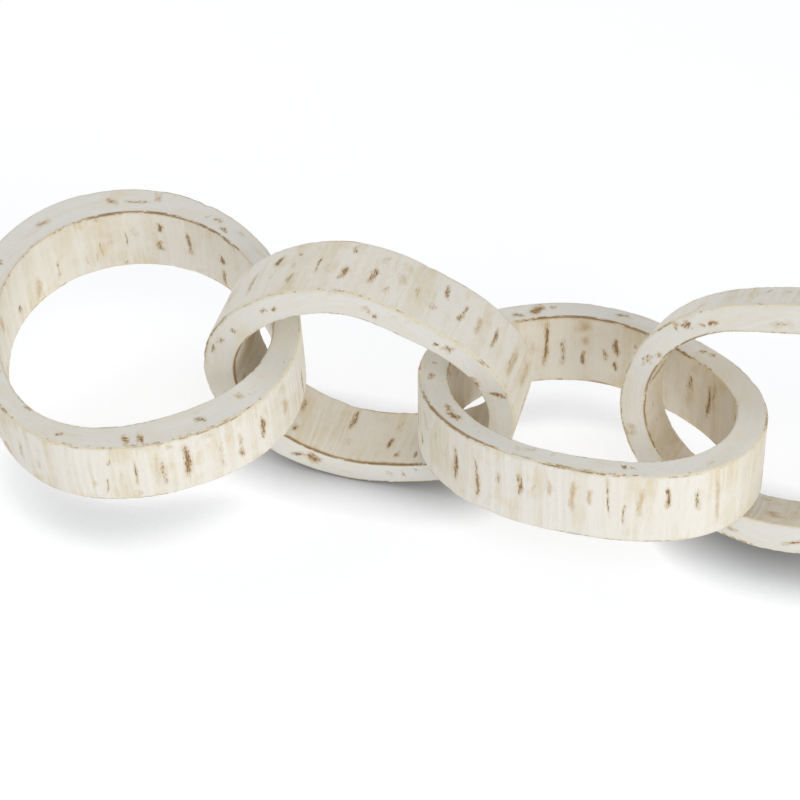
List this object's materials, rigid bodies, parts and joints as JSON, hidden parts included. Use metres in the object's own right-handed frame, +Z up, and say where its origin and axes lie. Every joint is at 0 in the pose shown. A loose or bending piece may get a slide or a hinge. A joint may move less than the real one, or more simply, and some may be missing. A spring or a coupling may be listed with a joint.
{
  "type": "wooden chain",
  "caption": "Broad hand-cut oval wooden links threaded through one another, lying loose, flat links alternating with standing ones, in worn whitewash.",
  "frame": {"origin": "centre of the chain's footprint on the floor it lies on", "axes": "+Z up from the floor, +X along the chain from the first flat link to the last standing link, -Y towards the side the picture was taken from"},
  "size_m": [0.6126, 0.27, 0.1603],
  "materials": {
    "whitewashed_wood": "matt off-white wash over pale wood, rubbed through to brown in streaks across the bands, in specks on the rims and along the edges"
  },
  "bodies": {
    "root": {"left_flat_link": "whitewashed_wood", "left_standing_link": "whitewashed_wood", "right_flat_link": "whitewashed_wood", "right_standing_link": "whitewashed_wood"}
  },
  "joints": []
}
